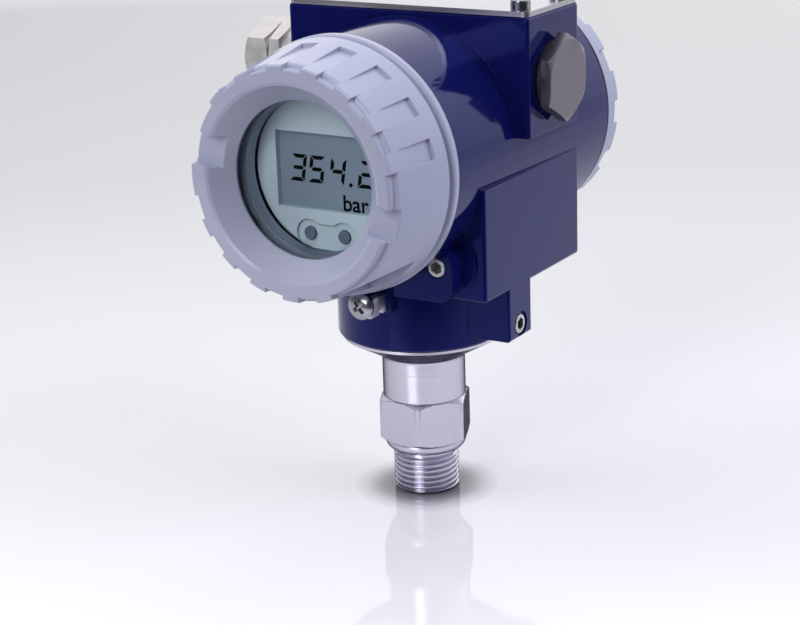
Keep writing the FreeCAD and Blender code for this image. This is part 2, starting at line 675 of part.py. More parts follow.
def front_cover():
    """Screwed front cover with the funnel round the window and two wrench notches."""
    skirt = y_ring(COVER_THREAD_R - RUN_GAP, 0, COVER_BACK_Y, -31.0)
    body = fused(cover_outside(), skirt)
    groove = y_ring(COVER_THREAD_R, 33.0, -38.9, -36.5)
    body = body.cut([cover_inside(), groove])
    notches = []
    for turn in (NOTCH_TURN, NOTCH_TURN + 180):
        notch = slab((25.0, 42.0), (NOSE_Y - 1, NOSE_Y + NOTCH_DEPTH),
                     (-NOTCH_WIDTH / 2, NOTCH_WIDTH / 2))
        notch.rotate(VEC(0, 0, 0), AX_Y, -turn)
        notch.translate(VEC(0, 0, AXIS_Z))
        notches.append(notch)
    return body.cut(notches)


def cover_seal(y_middle):
    """O-ring in the groove of a cover's skirt."""
    return Part.makeTorus(34.0, 0.95, VEC(0, y_middle, AXIS_Z), AX_Y)


def window_retainer():
    """Threaded ring that clamps the window from behind, with two key slots."""
    body = y_ring(RETAINER_R[1], RETAINER_R[0], RETAINER_Y[0], RETAINER_Y[1])
    slots = [slab((side * 26.5 - 1.5, side * 26.5 + 1.5), (RETAINER_Y[1] - 1.5, RETAINER_Y[1]),
                  (AXIS_Z - 1.2, AXIS_Z + 1.2)) for side in (-1, 1)]
    return body.cut(slots)


# ---------------------------------------------------------------- rear cover

def rear_cover():
    """Blind rear cover with a castellated grip."""
    outline = [(SKIRT_INNER_R, 46.4), (COVER_THREAD_R - RUN_GAP, 46.4),
               (COVER_THREAD_R - RUN_GAP, 51.9), (33.0, 51.9), (33.0, 54.3),
               (COVER_THREAD_R - RUN_GAP, 54.3), (COVER_THREAD_R - RUN_GAP, REAR_BACK_Y),
               (REAR_R, REAR_BACK_Y), (REAR_R, TOOTH_Y[0]), (TOOTH_R[1], TOOTH_Y[0]),
               (TOOTH_R[1], TOOTH_Y[1] - 0.6), (TOOTH_R[1] - 0.6, TOOTH_Y[1]),
               (TOOTH_R[0], TOOTH_Y[1]), (35.2, REAR_END_Y - 0.6), (33.6, REAR_END_Y),
               (0, REAR_END_Y), (0, REAR_END_Y - 5), (SKIRT_INNER_R - 2, REAR_END_Y - 5),
               (SKIRT_INNER_R, REAR_END_Y - 7)]
    body = about_case(outline)
    pitch = 360.0 / TOOTH_COUNT
    gaps = sectors([-2.4 + pitch * step for step in range(TOOTH_COUNT)], TOOTH_GAP, 45.0,
                   TOOTH_Y[0], TOOTH_Y[1] + 0.5)
    core = y_ring(TOOTH_R[0], 0, TOOTH_Y[0], TOOTH_Y[1] + 0.5)
    return body.cut(gaps.cut(core))


# ---------------------------------------------------------------- cable entries

def blind_plug():
    """Hexagon-head blanking plug."""
    head = chamfered_hexagon(AX_X, VEC(BLOCK_X + PLUG_HEX[0], PORT_Y, PORT_Z), PLUG_FLATS,
                             PLUG_HEX[1] - PLUG_HEX[0], 0.7, 0, AX_Z, both=False)
    return fused(head, x_ring(1, ENTRY_R - RUN_GAP, 0, -ENTRY_DEPTH + 0.5, PLUG_HEX[0]))


def plug_washer():
    """Sealing washer under the plug's head."""
    return x_ring(1, 11.0, ENTRY_R, *PLUG_WASHER)


def gland_hexagon(span, chamfer):
    """Hexagon of the gland over a span outwards from the housing's side."""
    start = VEC(-BLOCK_X - span[0], PORT_Y, PORT_Z)
    return chamfered_hexagon(AX_X * -1, start, GLAND_FLATS, span[1] - span[0], chamfer, GLAND_TURN)


def gland_body():
    """Gland body screwed into the entry, with its hexagon and the thread for the nut."""
    collar_r, groove_r = GLAND_RING_R
    thread_r, end = GLAND_THREAD
    parts = [x_ring(-1, ENTRY_R, 0, -ENTRY_DEPTH + 0.5, 1.4), x_ring(-1, collar_r, 0, 1.4, 3.4),
             x_ring(-1, groove_r, 0, 3.4, 4.2), x_ring(-1, collar_r, 0, 4.2, 6.2),
             x_ring(-1, groove_r, 0, 6.2, GLAND_HEX[0]), gland_hexagon(GLAND_HEX, 0.6),
             x_ring(-1, thread_r, 0, GLAND_HEX[1], end)]
    body = fused(*parts)
    return body.cut([x_ring(-1, 6.2, 0, -ENTRY_DEPTH, 10.0), x_ring(-1, 7.2, 0, 10.0, end)])


def gland_gasket():
    """Flat gasket between the gland body and the housing."""
    return x_ring(-1, 11.2, ENTRY_R, 0, 1.4)


def gland_seal():
    """Rubber sleeve that grips the cable."""
    return x_ring(-1, 7.2, CABLE_R, 10.0, GLAND_THREAD[1])


def gland_thrust_ring():
    """Slip ring between the rubber sleeve and the nut."""
    return x_ring(-1, 8.6, 5.6, 18.65, 19.35)


def gland_nut():
    """Domed hexagon nut of the gland."""
    bore_r, depth = NUT_BORE
    nut = fused(gland_hexagon(NUT_HEX, 1.2), domed_end())
    return nut.cut([x_ring(-1, bore_r, 0, NUT_HEX[0], depth), x_ring(-1, NUT_MOUTH_R, 0, depth, NUT_END)])


def domed_end():
    """Rounded outer end of the gland nut."""
    disc = x_ring(-1, GLAND_FLATS / 2 - 0.1, 0, 18.0, NUT_END)
    outer_face = -BLOCK_X - NUT_END
    return rounded(disc, 2.6, lambda edge: abs(edge.CenterOfMass.x - outer_face) < 0.1)


PARTS = {
    "process_connection": process_connection,
    "sensor_neck": sensor_neck,
    "sensor_cell": sensor_cell,
    "sensor_board": sensor_board,
    "neck_cover": neck_cover,
    "neck_seal": neck_seal,
    "housing": housing,
    "name_plate": name_plate,
    "plate_screws": plate_screws,
    "front_lock_screw": front_lock_screw,
    "rear_lock_screw": rear_lock_screw,
    "neck_lock_screw": neck_lock_screw,
    "earth_clamp": earth_clamp,
    "earth_screw": earth_screw,
    "electronics_module": electronics_module,
    "module_screws": module_screws,
    "display_bezel": display_bezel,
    "lcd_panel": lcd_panel,
    "display_board": display_board,
    "key_switches": key_switches,
    "left_button": lambda: push_button(-1),
    "right_button": lambda: push_button(1),
    "terminal_block": terminal_block,
    "terminal_screws": terminal_screws,
    "feedthrough": feedthrough,
    "inner_earth_screw": inner_earth_screw,
    "front_cover": front_cover,
    "front_cover_seal": lambda: cover_seal(-37.7),
    "window_glass": lambda: y_ring(GLASS_R, 0, *GLASS_Y),
    "window_gasket_front": lambda: y_ring(GLASS_R, 23.4, *GASKET_Y),
    "window_gasket_back": lambda: y_ring(GLASS_R, 23.4, *BACK_GASKET_Y),
    "window_retainer": window_retainer,
    "rear_cover": rear_cover,
    "rear_cover_seal": lambda: cover_seal(53.1),
    "blind_plug": blind_plug,
    "plug_washer": plug_washer,
    "gland_body": gland_body,
    "gland_gasket": gland_gasket,
    "gland_seal": gland_seal,
    "gland_thrust_ring": gland_thrust_ring,
    "gland_nut": gland_nut,
}


def main():
    """Build every part and write it to its own STEP file."""
    os.makedirs("parts", exist_ok=True)
    for name, build in PARTS.items():
        shape = build()
        solids = len(shape.Solids)
        print(f"{name}: {solids} solid(s), {shape.Volume / 1000:.2f} cm3, valid {shape.isValid()}")
        shape.exportStep(f"parts/{name}.step")


main()
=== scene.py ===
"""Looks of a pressure transmitter with a local display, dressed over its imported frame.

Every length is in metres in the frame's own axes: +Z up along the neck, the display towards -Y, the
cable gland towards -X and the blanking plug towards +X.
"""
import logging
import math
from collections.abc import Sequence
from dataclasses import dataclass
from enum import Enum
from typing import Any, ClassVar

import bmesh
import bpy
import numpy as np
from mathutils import Matrix, Vector

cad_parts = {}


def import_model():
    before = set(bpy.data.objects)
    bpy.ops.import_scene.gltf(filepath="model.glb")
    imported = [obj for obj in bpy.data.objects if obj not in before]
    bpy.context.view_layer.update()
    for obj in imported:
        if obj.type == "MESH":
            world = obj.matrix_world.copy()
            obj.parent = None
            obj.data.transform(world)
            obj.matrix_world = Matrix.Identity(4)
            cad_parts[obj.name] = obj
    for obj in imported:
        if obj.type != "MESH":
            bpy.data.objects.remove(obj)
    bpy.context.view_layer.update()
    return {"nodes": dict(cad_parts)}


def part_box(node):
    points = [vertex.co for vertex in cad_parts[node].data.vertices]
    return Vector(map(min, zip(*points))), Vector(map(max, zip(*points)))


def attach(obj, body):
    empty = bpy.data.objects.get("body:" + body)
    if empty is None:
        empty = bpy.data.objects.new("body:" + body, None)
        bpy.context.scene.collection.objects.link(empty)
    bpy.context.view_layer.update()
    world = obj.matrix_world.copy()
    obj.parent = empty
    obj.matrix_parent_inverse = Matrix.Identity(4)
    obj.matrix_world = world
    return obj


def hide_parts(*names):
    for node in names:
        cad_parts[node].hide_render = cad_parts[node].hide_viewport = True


LOG = logging.getLogger("transmitter")
MM = 0.001
# Nearly all values of a noise texture lie in this band
NOISE_BAND = (0.3, 0.7)
BEVEL_SAMPLES = 6
# Points nearer than this are one point
MERGE_DISTANCE = 1e-7
Socket = bpy.types.NodeSocket
Tree = bpy.types.NodeTree
Profile = Sequence[tuple[float, float]]


class Axis(Enum):
    """Direction that a turned piece is turned about."""

    X = 0
    Y = 1
    Z = 2


# ---------------------------------------------------------------- colours and nodes

def linear(colour: str) -> tuple[float, float, float, float]:
    """Turns an sRGB hex colour into linear RGBA.

    Args:
        colour: a colour such as "#1b1c4e".

    Returns:
        Red, green, blue and an alpha of one, each from 0 to 1.
    """
    values = [int(colour[k:k + 2], 16) / 255 for k in (1, 3, 5)]
    red, green, blue = (v / 12.92 if v <= 0.04045 else ((v + 0.055) / 1.055) ** 2.4 for v in values)
    return red, green, blue, 1.0


def add(tree: Tree, kind: str, settings: dict[str, Any] | None = None,
        inputs: dict[int | str, Any] | None = None) -> bpy.types.Node:
    """Adds a node to a tree with its settings, values and links.

    Args:
        tree: the node tree.
        kind: the node's type, without the leading "ShaderNode".
        settings: properties of the node.
        inputs: a value or another node's output for each named or numbered input.

    Returns:
        The new node.
    """
    node = tree.nodes.new("ShaderNode" + kind)
    for name, value in (settings or {}).items():
        setattr(node, name, value)
    for key, value in (inputs or {}).items():
        if isinstance(value, Socket):
            tree.links.new(value, node.inputs[key])
        else:
            node.inputs[key].default_value = value
    return node


def shaded(tree: Tree, fac: Socket, stops: Sequence[tuple[float, str]]) -> Socket:
    """Colour ramp over a factor.

    Args:
        tree: the node tree.
        fac: the factor from 0 to 1.
        stops: pairs of a position and an sRGB hex colour, in rising order.

    Returns:
        The colour.
    """
    node = add(tree, "ValToRGB", inputs={0: fac})
    elements = node.color_ramp.elements
    while len(elements) < len(stops):
        elements.new(0.5)
    for element, (position, colour) in zip(elements, stops):
        element.position = position
        element.color = linear(colour)
    return node.outputs["Color"]


def ranged(tree: Tree, value: Socket, source: tuple[float, float], low: float, high: float) -> Socket:
    """Maps a value from the source range onto low to high, clamped."""
    node = add(tree, "MapRange", inputs={0: value, 1: source[0], 2: source[1], 3: low, 4: high})
    return node.outputs[0]


def sums(tree: Tree, operation: str, first: Any, second: Any = 0.0) -> Socket:
    """Result of one arithmetic step on sockets or numbers."""
    return add(tree, "Math", {"operation": operation}, {0: first, 1: second}).outputs[0]


def between(tree: Tree, value: Socket, span: tuple[float, float]) -> Socket:
    """One where the value lies inside the span, and zero outside it."""
    return sums(tree, "MULTIPLY", sums(tree, "GREATER_THAN", value, span[0]),
                sums(tree, "LESS_THAN", value, span[1]))


def camera_rays(tree: Tree) -> Socket:
    """One for rays that come straight from the camera, and zero for reflections and light."""
    return add(tree, "LightPath").outputs["Is Camera Ray"]


def mixed(tree: Tree, blend: str, share: Any, under: Socket, over: Any) -> Socket:
    """Blends one colour over another by a share from 0 to 1."""
    node = add(tree, "Mix", {"data_type": "RGBA", "blend_type": blend}, {0: share, 6: under, 7: over})
    return node.outputs[2]


def place(tree: Tree) -> Socket:
    """Position on the piece in metres, from its Object coordinates."""
    return add(tree, "TexCoord").outputs["Object"]


def grain(tree: Tree, size_mm: float, detail: float = 2.0, stretch: Sequence[float] = (1, 1, 1),
          vector: Socket | None = None) -> Socket:
    """Noise whose features are about the given size.

    Args:
        tree: the node tree.
        size_mm: width of one feature in millimetres.
        detail: finer layers added on top.
        stretch: factor by which the features shrink along each axis.
        vector: position to read, by default the Object coordinates.

    Returns:
        The noise value from 0 to 1.
    """
    scale = [factor / (size_mm * MM) for factor in stretch]
    mapping = add(tree, "Mapping", inputs={"Vector": vector or place(tree), "Scale": scale})
    noise = add(tree, "TexNoise", inputs={"Vector": mapping.outputs[0], "Scale": 1.0, "Detail": detail})
    return noise.outputs["Fac"]


def relief(tree: Tree, height: Socket, depth_mm: float, normal: Socket | None = None) -> Socket:
    """Normal of a surface whose relief is the height times the depth.

    Args:
        tree: the node tree.
        height: height from 0 to 1.
        depth_mm: depth of the relief in millimetres.
        normal: normal to add the relief to, by default that of the mesh.

    Returns:
        The new normal.
    """
    inputs: dict[int | str, Any] = {"Strength": 1.0, "Distance": depth_mm * MM, "Height": height}
    if normal is not None:
        inputs["Normal"] = normal
    return add(tree, "Bump", inputs=inputs).outputs[0]


def eased_edges(tree: Tree, radius_mm: float) -> Socket:
    """Normal that rounds a hard edge by the given radius, as paint and tumbling do."""
    return add(tree, "Bevel", {"samples": BEVEL_SAMPLES}, {"Radius": radius_mm * MM}).outputs[0]


def turned_place(tree: Tree, axis: Axis, centre: Sequence[float]) -> tuple[Socket, Socket, Socket]:
    """Radius, angle in turns and height of a point about an axis.

    Args:
        tree: the node tree.
        axis: direction of the axis.
        centre: a point on the axis, in metres.

    Returns:
        Sockets of the radius in metres, the angle from -0.5 to 0.5 and the height in metres.
    """
    offset = add(tree, "VectorMath", {"operation": "SUBTRACT"}, {0: place(tree), 1: centre})
    parts = add(tree, "SeparateXYZ", inputs={0: offset.outputs[0]}).outputs
    a, b = parts[(axis.value + 1) % 3], parts[(axis.value + 2) % 3]
    squares = sums(tree, "ADD", sums(tree, "MULTIPLY", a, a), sums(tree, "MULTIPLY", b, b))
    radius = sums(tree, "SQRT", squares)
    angle = sums(tree, "DIVIDE", sums(tree, "ARCTAN2", b, a), math.tau)
    return radius, angle, parts[axis.value]


# ---------------------------------------------------------------- finishes

@dataclass(frozen=True)
class Thread:
    """A screw thread too fine for the mesh, drawn as relief between two heights on a radius.

    The relief is a triangle wave of (height / pitch - angle): it climbs one pitch in each turn.
    """

    axis: Axis
    centre: tuple[float, float, float]
    span: tuple[float, float]
    radius: tuple[float, float]
    pitch_mm: float = 1.5
    depth_mm: float = 0.8

    def height(self, tree: Tree) -> Socket:
        """Relief from 0 to 1 inside the thread's band.

        Args:
            tree: the material's node tree.

        Returns:
            The height, which is 0 outside the band.
        """
        radius, angle, along = turned_place(tree, self.axis, self.centre)
        phase = sums(tree, "SUBTRACT", sums(tree, "DIVIDE", along, self.pitch_mm * MM), angle)
        wave = sums(tree, "MULTIPLY", sums(tree, "PINGPONG", phase, 0.5), 2.0)
        inside = sums(tree, "MULTIPLY", between(tree, along, self.span),
                      between(tree, radius, self.radius))
        return sums(tree, "MULTIPLY", wave, inside)


@dataclass(frozen=True)
class Finish:
    """A surface finish: one named material with the detail of the real one."""

    label: str
    colour: str
    roughness: float = 0.4
    ior: float = 1.5
    threads: tuple[Thread, ...] = ()

    def material(self) -> bpy.types.Material:
        """Builds the material, or gives the one that was built before.

        Returns:
            The finish's one material.
        """
        made = bpy.data.materials.get(self.label)
        if made is not None:
            return made
        made = bpy.data.materials.new(self.label)
        made.use_nodes = True
        tree = made.node_tree
        tree.nodes.clear()
        shader = add(tree, "BsdfPrincipled", inputs={"Base Color": linear(self.colour),
                                                     "Roughness": self.roughness, "IOR": self.ior})
        add(tree, "OutputMaterial", inputs={"Surface": shader.outputs[0]})
        made.diffuse_color = linear(self.colour)
        self.dress(tree, shader)
        return made

    def dress(self, tree: Tree, shader: bpy.types.Node) -> None:
        """Adds the finish's own detail to the shader."""

    def wire(self, tree: Tree, shader: bpy.types.Node, **sockets: Socket) -> None:
        """Links sockets to the shader's inputs.

        Args:
            tree: the material's node tree.
            shader: the principled shader to dress.
            **sockets: sockets by input name, in which an underscore stands for a space.
        """
        for name, socket in sockets.items():
            tree.links.new(socket, shader.inputs[name.replace("_", " ")])

    def uneven(self, tree: Tree, fac: Socket, least: float, most: float) -> Socket:
        """Roughness that follows a noise, from least to most times the finish's own."""
        return ranged(tree, fac, NOISE_BAND, self.roughness * least, min(1.0, self.roughness * most))

    def threaded(self, tree: Tree, normal: Socket | None) -> Socket | None:
        """Normal with the relief of the finish's threads on top.

        Args:
            tree: the material's node tree.
            normal: normal without the threads.

        Returns:
            The new normal.
        """
        for thread in self.threads:
            normal = relief(tree, thread.height(tree), thread.depth_mm, normal)
        return normal


@dataclass(frozen=True)
class PowderCoat(Finish):
    """Stoved coating on a die casting: gloss with a faint orange peel and slightly eased edges."""

    peel_mm: float = 2.2
    peel_depth: float = 0.004
    edge_mm: float = 0.35
    drift_mm: float = 25.0
    cloud_mm: float = 12.0
    tone: str = "#ffffff"
    gloss_tint: str = "#ffffff"

    def dress(self, tree: Tree, shader: bpy.types.Node) -> None:
        """Orange peel, a slow drift of the tone and roughness, and soft edges.

        Args:
            tree: the material's node tree.
            shader: the principled shader to dress.
        """
        shader.inputs["Specular Tint"].default_value = linear(self.gloss_tint)
        colour = shaded(tree, grain(tree, self.drift_mm, 1.0), [(0.3, self.colour), (0.7, self.tone)])
        rough = self.uneven(tree, grain(tree, self.cloud_mm, 1.0), 0.92, 1.08)
        edges = eased_edges(tree, self.edge_mm)
        normal = relief(tree, grain(tree, self.peel_mm, 1.0), self.peel_depth, edges)
        self.wire(tree, shader, Base_Color=colour, Roughness=rough, Normal=self.threaded(tree, normal))


@dataclass(frozen=True)
class TurnedMetal(Finish):
    """Metal turned on a lathe: fine rings about the axis, brighter and duller by turns."""

    axis: Axis = Axis.Z
    centre: tuple[float, float, float] = (0.0, 0.0, 0.0)
    ring_mm: float = 0.5
    ring_depth: float = 0.0006
    blotch_mm: float = 15.0
    blotch_share: float = 0.4
    edge_mm: float = 0.2
    dull: str = "#8f8f94"
    edge: str = "#33333b"

    def dress(self, tree: Tree, shader: bpy.types.Node) -> None:
        """Rings that follow the radius and the height, and a darker tone where the eye grazes them.

        Args:
            tree: the material's node tree.
            shader: the principled shader to dress.
        """
        shader.inputs["Metallic"].default_value = 1.0
        shader.inputs["Specular Tint"].default_value = linear(self.edge)
        radius, _, along = turned_place(tree, self.axis, self.centre)
        profile = add(tree, "CombineXYZ", inputs={0: radius, 1: along}).outputs[0]
        rings = grain(tree, self.ring_mm, 2.0, vector=profile)
        blotch = grain(tree, self.blotch_mm, 1.0)
        both = sums(tree, "ADD", sums(tree, "MULTIPLY", rings, 1 - self.blotch_share),
                    sums(tree, "MULTIPLY", blotch, self.blotch_share))
        colour = shaded(tree, both, [(0.3, self.dull), (0.62, self.colour)])
        rough = self.uneven(tree, rings, 0.8, 1.25)
        normal = relief(tree, rings, self.ring_depth, eased_edges(tree, self.edge_mm))
        self.wire(tree, shader, Base_Color=colour, Roughness=rough, Normal=self.threaded(tree, normal))


@dataclass(frozen=True)
class BrushedSheet(Finish):
    """Rolled sheet metal brushed along X: long fine strokes."""

    stroke_mm: float = 0.4
    stroke_length: float = 50.0
    stroke_depth: float = 0.002
    edge_mm: float = 0.15
    dull: str = "#a8a8ac"

    def dress(self, tree: Tree, shader: bpy.types.Node) -> None:
        """Strokes 0.4 mm wide and fifty times as long, drawn coarser than real so that they show.

        Args:
            tree: the material's node tree.
            shader: the principled shader to dress.
        """
        shader.inputs["Metallic"].default_value = 1.0
        strokes = grain(tree, self.stroke_mm, 2.0, (1 / self.stroke_length, 1, 1))
        colour = shaded(tree, strokes, [(0.3, self.dull), (0.65, self.colour)])
        rough = self.uneven(tree, strokes, 0.85, 1.2)
        normal = relief(tree, strokes, self.stroke_depth, eased_edges(tree, self.edge_mm))
        self.wire(tree, shader, Base_Color=colour, Roughness=rough, Normal=normal)


@dataclass(frozen=True)
class PlatedMetal(Finish):
    """Electroplated metal: even and bright with a soft satin bloom."""

    bloom_mm: float = 4.0
    pit_mm: float = 0.6
    pit_depth: float = 0.003
    edge_mm: float = 0.25
    dull: str = "#808086"

    def dress(self, tree: Tree, shader: bpy.types.Node) -> None:
        """A cloudy change of tone and roughness, and edges rounded by tumbling.

        Args:
            tree: the material's node tree.
            shader: the principled shader to dress.
        """
        shader.inputs["Metallic"].default_value = 1.0
        bloom = grain(tree, self.bloom_mm, 1.0)
        colour = shaded(tree, bloom, [(0.3, self.dull), (0.6, self.colour)])
        rough = self.uneven(tree, bloom, 0.9, 1.15)
        normal = relief(tree, grain(tree, self.pit_mm), self.pit_depth, eased_edges(tree, self.edge_mm))
        self.wire(tree, shader, Base_Color=colour, Roughness=rough, Normal=self.threaded(tree, normal))


@dataclass(frozen=True)
class Moulding(Finish):
    """Injection-moulded plastic or rubber with the fine spark texture of its tool."""

    spark_mm: float = 0.45
    spark_depth: float = 0.008
    mottle_mm: float = 9.0
    edge_mm: float = 0.2
    shade: str = "#ffffff"

    def dress(self, tree: Tree, shader: bpy.types.Node) -> None:
        """Spark-eroded texture, drawn at about half a millimetre so that it shows.

        Args:
            tree: the material's node tree.
            shader: the principled shader to dress.
        """
        spark = grain(tree, self.spark_mm, 2.0)
        colour = shaded(tree, grain(tree, self.mottle_mm, 3.0), [(0.3, self.colour), (0.7, self.shade)])
        rough = self.uneven(tree, spark, 0.9, 1.15)
        normal = relief(tree, spark, self.spark_depth, eased_edges(tree, self.edge_mm))
        self.wire(tree, shader, Base_Color=colour, Roughness=rough, Normal=normal)


@dataclass(frozen=True)
class CircuitBoard(Finish):
    """Glass-fibre board under solder mask: green with faint paler tracks on a 1.27 mm grid."""

    track_mm: float = 1.27
    track_depth: float = 0.02
    track: str = "#2f6f45"

    def dress(self, tree: Tree, shader: bpy.types.Node) -> None:
        """Tracks between the cells of a blocky pattern.

        Args:
            tree: the material's node tree.
            shader: the principled shader to dress.
        """
        cells = add(tree, "TexVoronoi", {"distance": "CHEBYCHEV"},
                    {"Vector": place(tree), "Scale": 1 / (self.track_mm * MM)}).outputs["Distance"]
        colour = shaded(tree, cells, [(0.42, self.colour), (0.5, self.track)])
        self.wire(tree, shader, Base_Color=colour, Normal=relief(tree, cells, self.track_depth))


@dataclass(frozen=True)
class Polariser(Finish):
    """Polarising film of a reflective display: flat grey over a faintly grained reflector."""

    paper_mm: float = 0.7
    deep: str = "#7e8c9e"

    def dress(self, tree: Tree, shader: bpy.types.Node) -> None:
        """Fine paper-like grain of the reflector behind the film."""
        tones = [(0.25, self.deep), (0.75, self.colour)]
        self.wire(tree, shader, Base_Color=shaded(tree, grain(tree, self.paper_mm, 3.0), tones))


@dataclass(frozen=True)
class ClearPane(Finish):
    """Flat toughened glass: what is behind shows unbent, and the surface mirrors a little."""

    def dress(self, tree: Tree, shader: bpy.types.Node) -> None:
        """Mixes the gloss of the outer faces over plain transparency by the glass's own reflectance.

        Args:
            tree: the material's node tree.
            shader: the principled shader to dress.
        """
        shader.inputs["Base Color"].default_value = linear("#000000")
        clear = add(tree, "BsdfTransparent", inputs={"Color": linear(self.colour)})
        front = sums(tree, "SUBTRACT", 1.0, add(tree, "NewGeometry").outputs["Backfacing"])
        share = sums(tree, "MULTIPLY", add(tree, "Fresnel", inputs={"IOR": self.ior}).outputs[0], front)
        pane = add(tree, "MixShader", inputs={0: share, 1: clear.outputs[0], 2: shader.outputs[0]})
        out = next(node for node in tree.nodes if node.type == "OUTPUT_MATERIAL")
        tree.links.new(pane.outputs[0], out.inputs["Surface"])


CASE_AXIS = (0.0, 0.0, 115.8 * MM)
ENTRY_AXIS = (0.0, 10.2 * MM, 135.5 * MM)
# Radii between which the mated threads lie: of the covers, the two entries and the gland's nut
COVER_BAND = (34.4 * MM, 35.3 * MM)
ENTRY_BAND = (9.8 * MM, 10.2 * MM)
FITTING_BAND = (9.7 * MM, 10.1 * MM)
NUT_BAND = (8.7 * MM, 9.1 * MM)


def cover_thread(start: float, end: float) -> Thread:
    """Thread of a cover or its bore between two places along Y."""
    return Thread(Axis.Y, CASE_AXIS, (start, end), COVER_BAND)


def entry_thread(start: float, end: float, band: tuple[float, float] = FITTING_BAND) -> Thread:
    """Thread of an entry or its fitting between two places along X."""
    return Thread(Axis.X, ENTRY_AXIS, (start, end), band)



# Stoved polyester powder on die-cast aluminium: deep navy gloss that mirrors the studio in its flats
NAVY_COAT = PowderCoat(
    "navy_powder_coat", "#0d1149", 0.09, tone="#0f134d", gloss_tint="#7f8cf5",
    threads=(cover_thread(-39.8 * MM, -30.4 * MM), cover_thread(45.6 * MM, 55.2 * MM),
             entry_thread(-41.8 * MM, -31.8 * MM, ENTRY_BAND),
             entry_thread(31.8 * MM, 41.8 * MM, ENTRY_BAND)))
# The same coating in light grey with a lilac cast, a little less glossy
GREY_COAT = PowderCoat(
    "grey_powder_coat", "#a2a5bb", 0.25, peel_mm=1.6, peel_depth=0.006, edge_mm=0.45, tone="#a6a9be",
    threads=(cover_thread(-40.4 * MM, -31.2 * MM), cover_thread(46.6 * MM, 55.8 * MM)))
# Austenitic stainless bar, turned: cool silver with fine rings
STAINLESS = TurnedMetal("turned_stainless_steel", "#dcd8e6", 0.23, dull="#d7d3e1")
# Ground stainless of the set screws: bright, with a soft bloom
STAINLESS_SMALL = PlatedMetal("ground_stainless_steel", "#c9c8c6", 0.26, dull="#b5b4b6")
# Brushed stainless sheet: satin, and near white where it faces the light
PLATE_SHEET = BrushedSheet("brushed_stainless_sheet", "#bbb9c0", 0.3, dull="#b4b2b9")
# Bright zinc plate on steel screws: cool and mirror-like
ZINC = PlatedMetal("bright_zinc_plate", "#a4a4ab", 0.18, dull="#9a9aa2")
# Tumbled stainless of the earth clamp: satin, so it stays bright from every side
CLAMP_STEEL = PlatedMetal("tumbled_stainless_clamp", "#e4e2ec", 0.6, dull="#dad8e2")
# Satin nickel plate on brass: slightly warm silver
NICKEL = PlatedMetal(
    "satin_nickel_plate", "#e3dfdc", 0.44, dull="#dad6d2",
    threads=(entry_thread(-41.8 * MM, -32.2 * MM),
             Thread(Axis.X, ENTRY_AXIS, (-60.7 * MM, -54.3 * MM), NUT_BAND, depth_mm=0.5)))
# The same plate on the blanking plug as a darker copy: painted shade standing in for the dim
# reflections its flats show
NICKEL_IN_PAINTED_SHADE = PlatedMetal("nickel_plate_painted_shade", "#7b7780", 0.3, dull="#75717a",
                          threads=(entry_thread(32.2 * MM, 41.8 * MM),))
# Grey anodised aluminium of the window's clamping ring
ANODISED = TurnedMetal("grey_anodised_aluminium", "#aab0bd", 0.55, axis=Axis.Y, centre=CASE_AXIS,
                       dull="#a2a8b5", edge="#c8ccd8")
# Nitrile rubber: near black and matt
NITRILE = Moulding("nitrile_rubber", "#17171a", 0.6, shade="#202024")
# Grey silicone of the flat gaskets on both sides of the glass
GASKET_SILICONE = Moulding("grey_silicone_gasket", "#757e90", 0.6, shade="#7b8496")
# Moulded ABS of the display frame: pale grey with a green-blue cast
BEZEL_ABS = Moulding("pale_abs_moulding", "#bfcdd8", 0.5, shade="#c4d2dc")
# Silicone keys: dark slate
KEY_SILICONE = Moulding("slate_silicone", "#5c6a7c", 0.55, shade="#606e80")
# Polariser over the reflector of the liquid crystal cell: flat mid grey
LCD_FILM = Polariser("display_polariser", "#8391a3", 0.6)
# Switched-on liquid crystal: near black
SEGMENT = Finish("dark_liquid_crystal", "#040507", 0.7, ior=1.15)
# Solder mask over glass fibre: dark green and smooth
BOARD = CircuitBoard("green_solder_mask", "#1e4f30", 0.3)
# Potting resin poured over the electronics: black with a slight gloss
POTTING = Moulding("black_potting_resin", "#101013", 0.25, spark_mm=3.0, shade="#15151a")
# Moulded polyamide of the terminals: dull dark green
TERMINAL_PA = Moulding("green_polyamide", "#27402f", 0.5, shade="#2c4635")
# Toughened soda-lime glass: clear, with a thin mirrored gloss
PANE = ClearPane("toughened_glass", "#fcfefe", 0.02)

NODES_BY_FINISH: tuple[tuple[Finish, tuple[str, ...]], ...] = (
    (NAVY_COAT, ("housing",)),
    (GREY_COAT, ("front_cover", "rear_cover")),
    (STAINLESS, ("sensor_neck", "sensor_cell")),
    (STAINLESS_SMALL, ("front_lock_screw", "rear_lock_screw", "neck_lock_screw")),
    (PLATE_SHEET, ("name_plate",)),
    (ZINC, ("plate_screws", "earth_screw", "module_screws", "inner_earth_screw")),
    (CLAMP_STEEL, ("earth_clamp",)),
    (NICKEL, ("gland_body", "gland_nut", "gland_thrust_ring", "terminal_screws")),
    (NICKEL_IN_PAINTED_SHADE, ("blind_plug",)),
    (ANODISED, ("window_retainer",)),
    (NITRILE, ("neck_seal", "front_cover_seal", "rear_cover_seal", "plug_washer", "gland_gasket",
               "gland_seal")),
    (GASKET_SILICONE, ("window_gasket_front", "window_gasket_back")),
    (BEZEL_ABS, ("display_bezel",)),
    (KEY_SILICONE, ("left_button", "right_button")),
    (LCD_FILM, ("lcd_panel",)),
    (BOARD, ("sensor_board", "display_board")),
    (POTTING, ("neck_cover", "electronics_module", "key_switches", "feedthrough")),
    (TERMINAL_PA, ("terminal_block",)),
    (PANE, ("window_glass",)),
)


# ---------------------------------------------------------------- meshes

